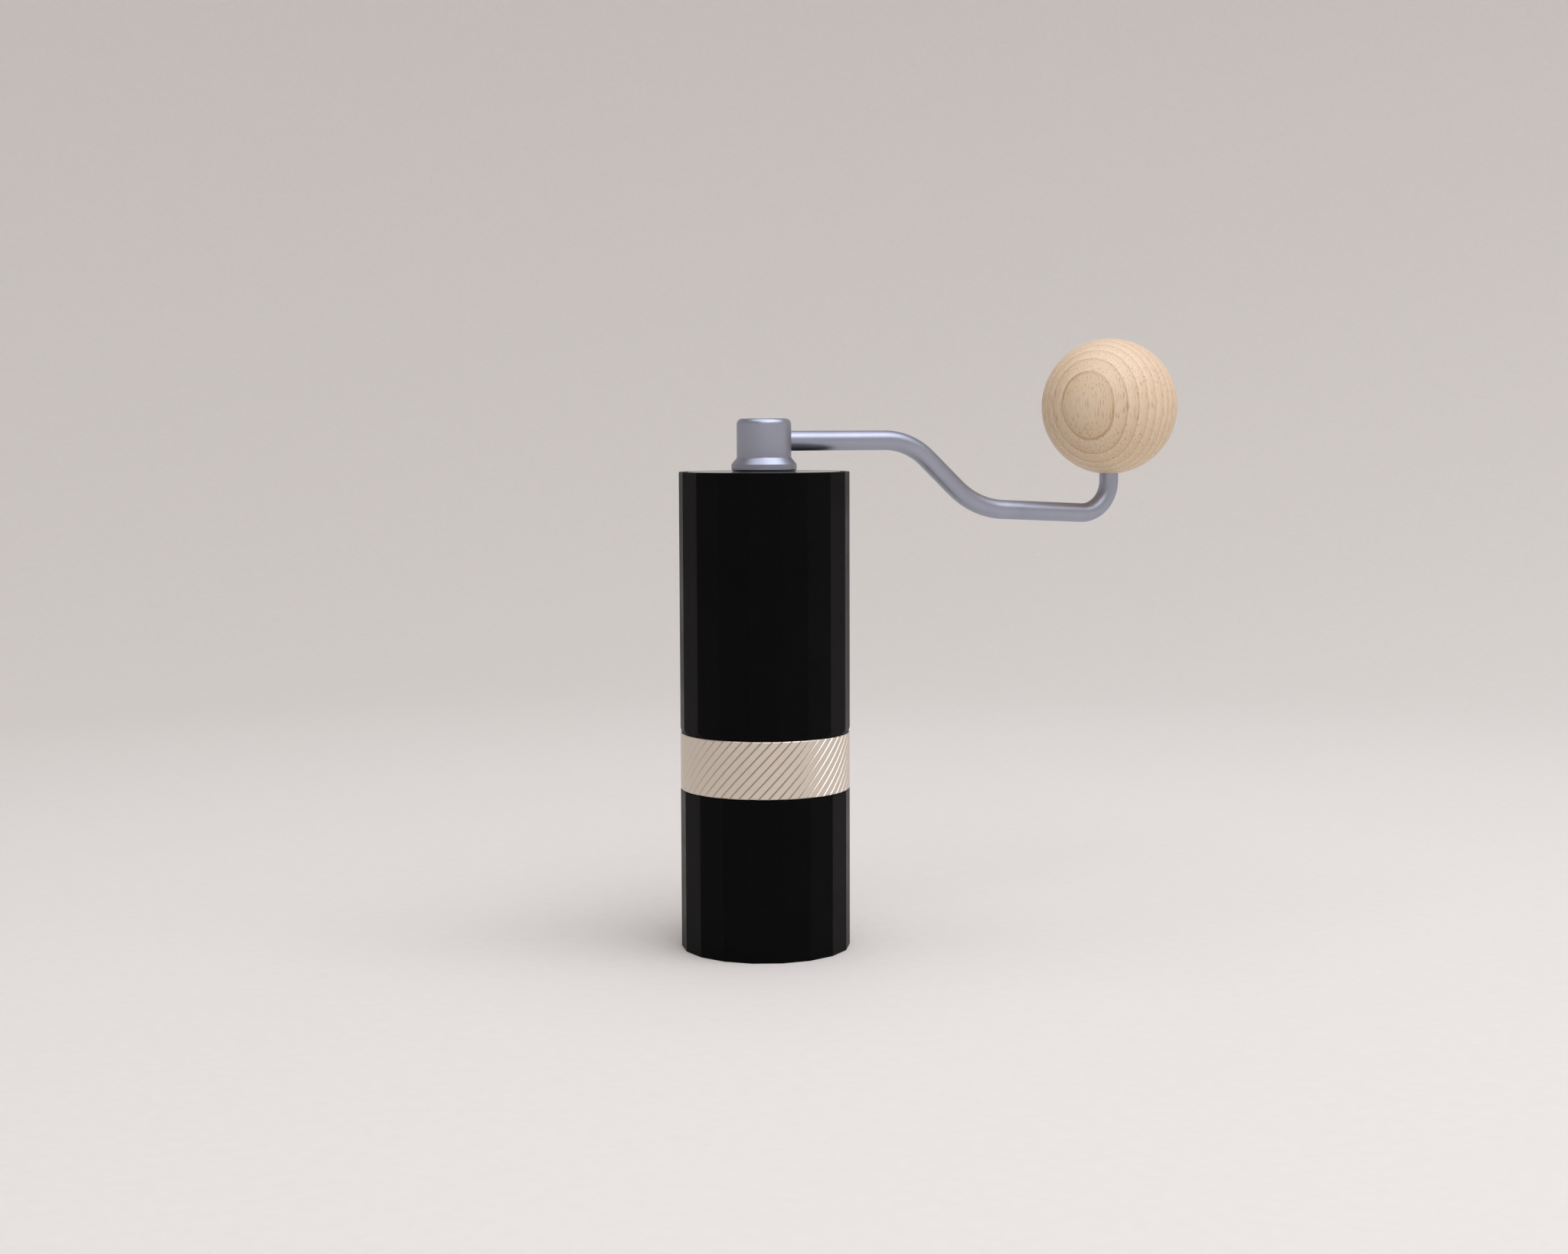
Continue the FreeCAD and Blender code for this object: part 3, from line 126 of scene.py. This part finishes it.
gloss = add(tree, "MapRange", {"Value": lines.outputs["Fac"], "To Min": 0.26, "To Max": 0.4})
connect(tree, shader, {"Base Color": tone.outputs["Result"], "Roughness": gloss.outputs["Result"],
                       "Metallic": 1.0})
dress(machined, "upper_bridge", "lower_frame", "cup_spigot", "burr_carrier")

# Burrs: a cone and a ring of hardened steel with teeth cut and ground on both. A nut clamps the cone on
# the shaft, and grub screws hold the ring in the carrier.

# Ground tool steel is grey with fine scratches and a faint straw tint from the temper
burr_steel, tree, shader, place = new_finish("ground_burr_steel")
temper_patch_mm = 9.0
scratch_mm = 0.3  # grinding scratches are finer and are drawn coarser so that they show
temper = add(tree, "TexNoise", {"Vector": place, "Scale": 1000 / temper_patch_mm, "Detail": 2.0})
scratch = add(tree, "TexNoise", {"Vector": place, "Scale": 1000 / scratch_mm, "Detail": 1.0})
tone = add(tree, "Mix", {"Factor": temper.outputs["Fac"], "A": linear("#a7a5a1"), "B": linear("#b9b3a6")},
           data_type="RGBA")
gloss = add(tree, "MapRange", {"Value": scratch.outputs["Fac"], "To Min": 0.2, "To Max": 0.36})
connect(tree, shader, {"Base Color": tone.outputs["Result"], "Roughness": gloss.outputs["Result"],
                       "Metallic": 1.0})
dress(burr_steel, "inner_burr", "outer_burr")

# Shaft, its spacer, washer and nut, and the spigot's screws: bright stainless bar, turned. The shaft is
# left hexagonal at the top, where the crank's hub drops over it.

# Drawn stainless bar is bright, with long fine lines down its length
bright_steel, tree, shader, place = new_finish("bright_turned_steel")
line_mm = 0.3  # the die's lines are finer and are drawn coarser so that they show
line_stretch = (1, 1, 0.05)
drawn = add(tree, "Mapping", {"Vector": place, "Scale": line_stretch})
lines = add(tree, "TexNoise", {"Vector": drawn.outputs["Vector"], "Scale": 1000 / line_mm, "Detail": 1.0})
tone = add(tree, "Mix", {"Factor": lines.outputs["Fac"], "A": linear("#b2b3b6"), "B": linear("#cbccce")},
           data_type="RGBA")
gloss = add(tree, "MapRange", {"Value": lines.outputs["Fac"], "To Min": 0.16, "To Max": 0.3})
connect(tree, shader, {"Base Color": tone.outputs["Result"], "Roughness": gloss.outputs["Result"],
                       "Metallic": 1.0})
dress(bright_steel, "drive_shaft", "burr_spacer", "burr_washer", "burr_nut", "spigot_screws")

# Bearing rings and magnets: ground chrome steel rings seated in the holders and on the shaft, and small
# nickel-plated magnets set in the spigot and the cup.

# Polished steel and bright nickel plate are near mirrors with patches of light haze
polished, tree, shader, place = new_finish("polished_plate")
haze_mm = 2.0
haze = add(tree, "TexNoise", {"Vector": place, "Scale": 1000 / haze_mm, "Detail": 2.0})
tone = add(tree, "Mix", {"Factor": haze.outputs["Fac"], "A": linear("#c2c2c4"), "B": linear("#d6d5d3")},
           data_type="RGBA")
gloss = add(tree, "MapRange", {"Value": haze.outputs["Fac"], "To Min": 0.08, "To Max": 0.2})
connect(tree, shader, {"Base Color": tone.outputs["Result"], "Roughness": gloss.outputs["Result"],
                       "Metallic": 1.0})
dress(polished, "upper_bearing_outer", "upper_bearing_inner", "lower_bearing_outer", "lower_bearing_inner",
      "spigot_magnets", "cup_magnets")

# Circlips and grub screws: spring steel and hardened steel, blackened in hot oil. The clips snap into
# turned grooves, and the screws lock the rod in its hub and the outer burr in its carrier.

# Black oxide is a thin dark grey skin, slightly mottled, with a dull metal shine
blackened, tree, shader, place = new_finish("black_oxide_steel")
mottle_mm = 1.2
mottle = add(tree, "TexNoise", {"Vector": place, "Scale": 1000 / mottle_mm, "Detail": 3.0})
tone = add(tree, "Mix", {"Factor": mottle.outputs["Fac"], "A": linear("#1d1c1e"), "B": linear("#343235")},
           data_type="RGBA")
gloss = add(tree, "MapRange", {"Value": mottle.outputs["Fac"], "To Min": 0.3, "To Max": 0.5})
connect(tree, shader, {"Base Color": tone.outputs["Result"], "Roughness": gloss.outputs["Result"],
                       "Metallic": 0.8})
dress(blackened, "bridge_circlip", "hub_circlip", "knob_circlip", "hub_grub_screw", "burr_grub_screws")

# O-rings: moulded black nitrile rubber. One seals the lid in the body's mouth, and the other gives the
# adjusting ring its drag.

# Nitrile rubber is black and dull, with a faint grey bloom
soft_black, tree, shader, place = new_finish("black_rubber")
bloom_mm = 1.5
bloom = add(tree, "TexNoise", {"Vector": place, "Scale": 1000 / bloom_mm, "Detail": 3.0})
tone = add(tree, "Mix", {"Factor": bloom.outputs["Fac"], "A": linear("#121212"), "B": linear("#242323")},
           data_type="RGBA")
gloss = add(tree, "MapRange", {"Value": bloom.outputs["Fac"], "To Min": 0.45, "To Max": 0.65})
connect(tree, shader, {"Base Color": tone.outputs["Result"], "Roughness": gloss.outputs["Result"]})
dress(soft_black, "ring_drag_o_ring", "lid_seal")

# Washers under the hub and the knob: black acetal cut from sheet. They keep the hub off the lid and the
# knob's sleeve off the rod's shoulder.

# Acetal is black, smoother and slicker than the rubber, with light rubbing marks
acetal, tree, shader, place = new_finish("black_acetal")
rub_mm = 0.8
wear = add(tree, "TexNoise", {"Vector": place, "Scale": 1000 / rub_mm, "Detail": 2.0})
tone = add(tree, "Mix", {"Factor": wear.outputs["Fac"], "A": linear("#1a1a1d"), "B": linear("#29292c")},
           data_type="RGBA")
gloss = add(tree, "MapRange", {"Value": wear.outputs["Fac"], "To Min": 0.28, "To Max": 0.44})
connect(tree, shader, {"Base Color": tone.outputs["Result"], "Roughness": gloss.outputs["Result"]})
dress(acetal, "hub_thrust_washer", "knob_washer")

# Lid: a flat aluminium disc, faced on the lathe and black anodised. It drops into the body's mouth and
# carries the crank in a bronze bush.

# Faced and anodised aluminium is a glossy black with fine rings round it, and its shine spreads outwards
# from the centre
faced_lid, tree, shader, place = new_finish("black_faced_aluminium")
ring_mm = 0.4  # facing rings are finer and are drawn coarser so that they show
flat = add(tree, "VectorMath", {0: place, 1: (1, 1, 0)}, operation="MULTIPLY")
radius = add(tree, "VectorMath", {0: flat.outputs[0]}, operation="LENGTH")
feed = add(tree, "CombineXYZ", {"X": radius.outputs["Value"]})
rings = add(tree, "TexNoise", {"Vector": feed.outputs["Vector"], "Scale": 1000 / ring_mm, "Detail": 1.0})
tone = add(tree, "Mix", {"Factor": rings.outputs["Fac"], "A": linear("#0a0a0b"), "B": linear("#121214")},
           data_type="RGBA")
gloss = add(tree, "MapRange", {"Value": rings.outputs["Fac"], "To Min": 0.11, "To Max": 0.18})
around = add(tree, "Tangent", {}, direction_type="RADIAL", axis="Z")
connect(tree, shader, {"Base Color": tone.outputs["Result"], "Roughness": gloss.outputs["Result"],
                       "Tangent": around.outputs["Tangent"], "Anisotropic": 0.85,
                       "Anisotropic Rotation": 0.25})
dress(faced_lid, "lid_plate")

# Lid bush and knob sleeve: sintered bronze, pressed from powder and soaked in oil. One carries the hub's
# neck in the lid, and the other turns on the rod's spindle inside the ball.

# Sintered bronze is brown yellow and open-grained, half bright and half dull
bronze, tree, shader, place = new_finish("sintered_bronze")
pore_mm = 0.4  # pores are finer and are drawn coarser so that they show
pores = add(tree, "TexNoise", {"Vector": place, "Scale": 1000 / pore_mm, "Detail": 2.0})
tone = add(tree, "Mix", {"Factor": pores.outputs["Fac"], "A": linear("#8a6238"), "B": linear("#bf9156")},
           data_type="RGBA")
gloss = add(tree, "MapRange", {"Value": pores.outputs["Fac"], "To Min": 0.3, "To Max": 0.48})
connect(tree, shader, {"Base Color": tone.outputs["Result"], "Roughness": gloss.outputs["Result"],
                       "Metallic": 1.0})
dress(bronze, "lid_bush", "knob_insert")

# Crank: a turned stainless hub and a bent 6 mm rod let into its side and locked by a grub screw, both
# glass-bead blasted to one even finish.

# Bead-blasted stainless is a satin grey with a broad, soft shine and a cool, faintly blue cast
satin_steel, tree, shader, place = new_finish("bead_blasted_steel")
grain_mm = 0.25  # bead marks are about 0.1 mm and are drawn coarser so that they show
tint_patch_mm = 10.0
grain = add(tree, "TexNoise", {"Vector": place, "Scale": 1000 / grain_mm, "Detail": 2.0})
cloud = add(tree, "TexNoise", {"Vector": place, "Scale": 1000 / tint_patch_mm, "Detail": 3.0})
tone = add(tree, "Mix", {"Factor": cloud.outputs["Fac"], "A": linear("#999dab"), "B": linear("#a9adbb")},
           data_type="RGBA")
gloss = add(tree, "MapRange", {"Value": grain.outputs["Fac"], "To Min": 0.34, "To Max": 0.48})
bump = add(tree, "Bump", {"Height": grain.outputs["Fac"], "Strength": 0.08, "Distance": 0.00003})
connect(tree, shader, {"Base Color": tone.outputs["Result"], "Roughness": gloss.outputs["Result"],
                       "Normal": bump.outputs["Normal"], "Metallic": 1.0})
dress(satin_steel, "crank_hub", "crank_arm")

# Knob: a ball turned from pale beech and oiled, which spins on the rod's upright end. The growth rings
# are upright cylinders about a pith that lay outside the ball, so they cut its surface in tall ovals.

# Oiled beech is pale and warm, with soft brown ring lines that fade away from the pith and short dark
# flecks along the grain
beech, tree, shader, place = new_finish("oiled_beech")
low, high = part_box("knob_ball")
ball = (low + high) / 2
pith_distance = 0.0586
pith_heading = math.radians(-143.0)
to_pith = Vector((math.cos(pith_heading), math.sin(pith_heading), 0)) * pith_distance
pith_lean = (0.03, 0.02, 0.0)
first_ring = 0.0400
ring_width = 0.0031
ring_fade = 0.008
late_wood_start = 0.78
late_wood_peak = 0.92
wander_mm = 22.0
wander_reach = (0.0022, 0.0022, 0.0)
strength_patch_mm = 13.0
fleck_mm = 0.42
fleck_stretch = (1.0, 1.0, 0.11)
fleck_strength = 0.5
about_pith = add(tree, "VectorMath", {0: place, 1: ball + to_pith}, operation="SUBTRACT")
leant = add(tree, "Mapping", {"Vector": about_pith.outputs[0], "Rotation": pith_lean})
wander = add(tree, "TexNoise", {"Vector": place, "Scale": 1000 / wander_mm,
                                "Detail": 4.0, "Roughness": 0.55})
sway = add(tree, "VectorMath", {0: wander.outputs["Color"], 1: (0.5, 0.5, 0.5)}, operation="SUBTRACT")
swayed = add(tree, "VectorMath", {0: sway.outputs[0], 1: wander_reach, 2: leant.outputs[0]},
             operation="MULTIPLY_ADD")
flat = add(tree, "VectorMath", {0: swayed.outputs[0], 1: (1, 1, 0)}, operation="MULTIPLY")
radius = add(tree, "VectorMath", {0: flat.outputs[0]}, operation="LENGTH")
past_first = add(tree, "Math", {0: radius.outputs["Value"], 1: first_ring}, operation="SUBTRACT")
years = add(tree, "Math", {0: past_first.outputs[0], 1: ring_width}, operation="DIVIDE")
season = add(tree, "Math", {0: years.outputs[0]}, operation="FRACT")
late = add(tree, "MapRange", {"Value": season.outputs[0], "From Min": late_wood_start,
                              "From Max": late_wood_peak},
           interpolation_type="SMOOTHSTEP")
spring = add(tree, "MapRange", {"Value": season.outputs[0], "From Min": late_wood_peak, "From Max": 1.0,
                                "To Min": 1.0, "To Max": 0.0})
line = add(tree, "Math", {0: late.outputs["Result"], 1: spring.outputs["Result"]}, operation="MULTIPLY")
broad = add(tree, "TexNoise", {"Vector": place, "Scale": 1000 / strength_patch_mm, "Detail": 2.0})
strength = add(tree, "MapRange", {"Value": broad.outputs["Fac"], "From Min": 0.35, "From Max": 0.65,
                                  "To Min": 0.15, "To Max": 0.55})
older = add(tree, "MapRange", {"Value": past_first.outputs[0], "From Min": 0.0, "From Max": ring_fade,
                               "To Min": 1.0, "To Max": 0.34})
faded = add(tree, "Math", {0: strength.outputs["Result"], 1: older.outputs["Result"]}, operation="MULTIPLY")
ringed = add(tree, "Math", {0: line.outputs[0], 1: faded.outputs[0]}, operation="MULTIPLY")
along = add(tree, "Mapping", {"Vector": place, "Scale": fleck_stretch})
fleck = add(tree, "TexNoise", {"Vector": along.outputs["Vector"], "Scale": 1000 / fleck_mm, "Detail": 1.0})
flecks = add(tree, "MapRange", {"Value": fleck.outputs["Fac"], "From Min": 0.57, "From Max": 0.7})
flecked = add(tree, "Math", {0: flecks.outputs["Result"], 1: fleck_strength}, operation="MULTIPLY")
year = add(tree, "Mix", {"Factor": season.outputs[0], "A": linear("#e1ccb0"), "B": linear("#d6bc9b")},
           data_type="RGBA")
grown = add(tree, "Mix", {"Factor": ringed.outputs[0], "A": year.outputs["Result"], "B": linear("#a5763f")},
            data_type="RGBA")
tone = add(tree, "Mix", {"Factor": flecked.outputs[0], "A": grown.outputs["Result"],
                         "B": linear("#a97f55")},
           data_type="RGBA")
gloss = add(tree, "MapRange", {"Value": flecks.outputs["Result"], "To Min": 0.46, "To Max": 0.6})
bump = add(tree, "Bump", {"Height": flecks.outputs["Result"], "Strength": 0.15, "Distance": 0.00005},
           invert=True)
connect(tree, shader, {"Base Color": tone.outputs["Result"], "Roughness": gloss.outputs["Result"],
                       "Normal": bump.outputs["Normal"], "IOR": 1.45})
dress(beech, "knob_ball")

# Studio: a pale seamless bowl of paper, a wide soft light overhead and a smaller one at the front right.
# The bowl is a disc whose edge is drawn out in a quarter circle and then straight up.

# Plain paper is matt, with faint cloudy fibre
paper, tree, shader, place = new_finish("pale_paper")
fibre_mm = 4.0
fibre = add(tree, "TexNoise", {"Vector": place, "Scale": 1000 / fibre_mm, "Detail": 4.0})
tone = add(tree, "Mix", {"Factor": fibre.outputs["Fac"], "A": linear("#dcd8d1"), "B": linear("#e2ded8")},
           data_type="RGBA")
connect(tree, shader, {"Base Color": tone.outputs["Result"], "Roughness": 0.9, "Specular IOR Level": 0.1})

floor_radius = 0.65
sweep_radius = 1.15
sweep_steps = 24
wall_height = 1.2
bpy.ops.object.select_all(action="DESELECT")
bpy.ops.mesh.primitive_circle_add(vertices=128, radius=floor_radius, fill_type="NGON")
floor = bpy.context.object
floor.name = "paper_sweep"
bpy.ops.object.mode_set(mode="EDIT")
bpy.ops.mesh.select_mode(type="EDGE")
bpy.ops.mesh.select_all(action="SELECT")
for k in range(sweep_steps):
    turned = [math.radians(90 * (k + end) / sweep_steps) for end in (0, 1)]
    out = [floor_radius + sweep_radius * math.sin(angle) for angle in turned]
    up = [sweep_radius * (1 - math.cos(angle)) for angle in turned]
    bpy.ops.mesh.extrude_edges_move(TRANSFORM_OT_translate={"value": (0, 0, up[1] - up[0])})
    bpy.ops.transform.resize(value=(out[1] / out[0], out[1] / out[0], 1))
bpy.ops.mesh.extrude_edges_move(TRANSFORM_OT_translate={"value": (0, 0, wall_height)})
bpy.ops.mesh.select_all(action="SELECT")
bpy.ops.mesh.normals_make_consistent(inside=True)
bpy.ops.object.mode_set(mode="OBJECT")
bpy.ops.object.shade_smooth_by_angle(angle=math.radians(30))
floor.data.materials.append(paper)

world = bpy.data.worlds.new("studio")
bpy.context.scene.world = world
world.use_nodes = True
tree = world.node_tree
connect(tree, tree.nodes["Background"], {"Color": linear("#efe9e0"), "Strength": 0.25})

crank_turn_in_photo = math.radians(26)
lit_point = Vector((0, 0, 0.1))


def from_camera_side(x, y, z):
    """A place given as seen from the camera: right, away and up, in metres."""
    return Matrix.Rotation(-crank_turn_in_photo, 3, "Z") @ Vector((x, y, z))


for name, spot, width, length, power, colour in (
    ("overhead", (0.15, -0.1, 1.5), 1.8, 1.8, 17, "#f2f3ff"),
    ("front_right", (0.55, -0.6, 1.25), 1.8, 1.0, 11, "#f6f6ff"),
):
    light = bpy.data.lights.new(name, "AREA")
    light.shape = "RECTANGLE"
    light.size = width
    light.size_y = length
    light.energy = power
    light.color = linear(colour)[:3]
    lamp = bpy.data.objects.new(name, light)
    lamp.location = from_camera_side(*spot)
    lamp.rotation_euler = (lit_point - lamp.location).to_track_quat("-Z", "Y").to_euler()
    bpy.context.scene.collection.objects.link(lamp)

# Camera: a little above the lid's height, tipped down about five degrees and turned so that the crank
# points to the right and away.
camera_place = from_camera_side(0.008767, -0.67427, 0.15455)
camera_pan = math.radians(0.256)
camera_tilt = math.radians(4.937)
camera_roll = math.radians(-0.191)
lens = bpy.data.cameras.new("camera")
lens.sensor_fit = "HORIZONTAL"
lens.sensor_width = 36.0
lens.lens = 52.04
lens.clip_start = 0.01
camera = bpy.data.objects.new("camera", lens)
camera.matrix_world = (
    Matrix.Translation(camera_place)
    @ Matrix.Rotation(camera_pan - crank_turn_in_photo, 4, "Z")
    @ Matrix.Rotation(math.radians(90) - camera_tilt, 4, "X")
    @ Matrix.Rotation(camera_roll, 4, "Z")
)
bpy.context.scene.collection.objects.link(camera)
bpy.context.scene.camera = camera
bpy.context.scene.view_settings.view_transform = "Standard"
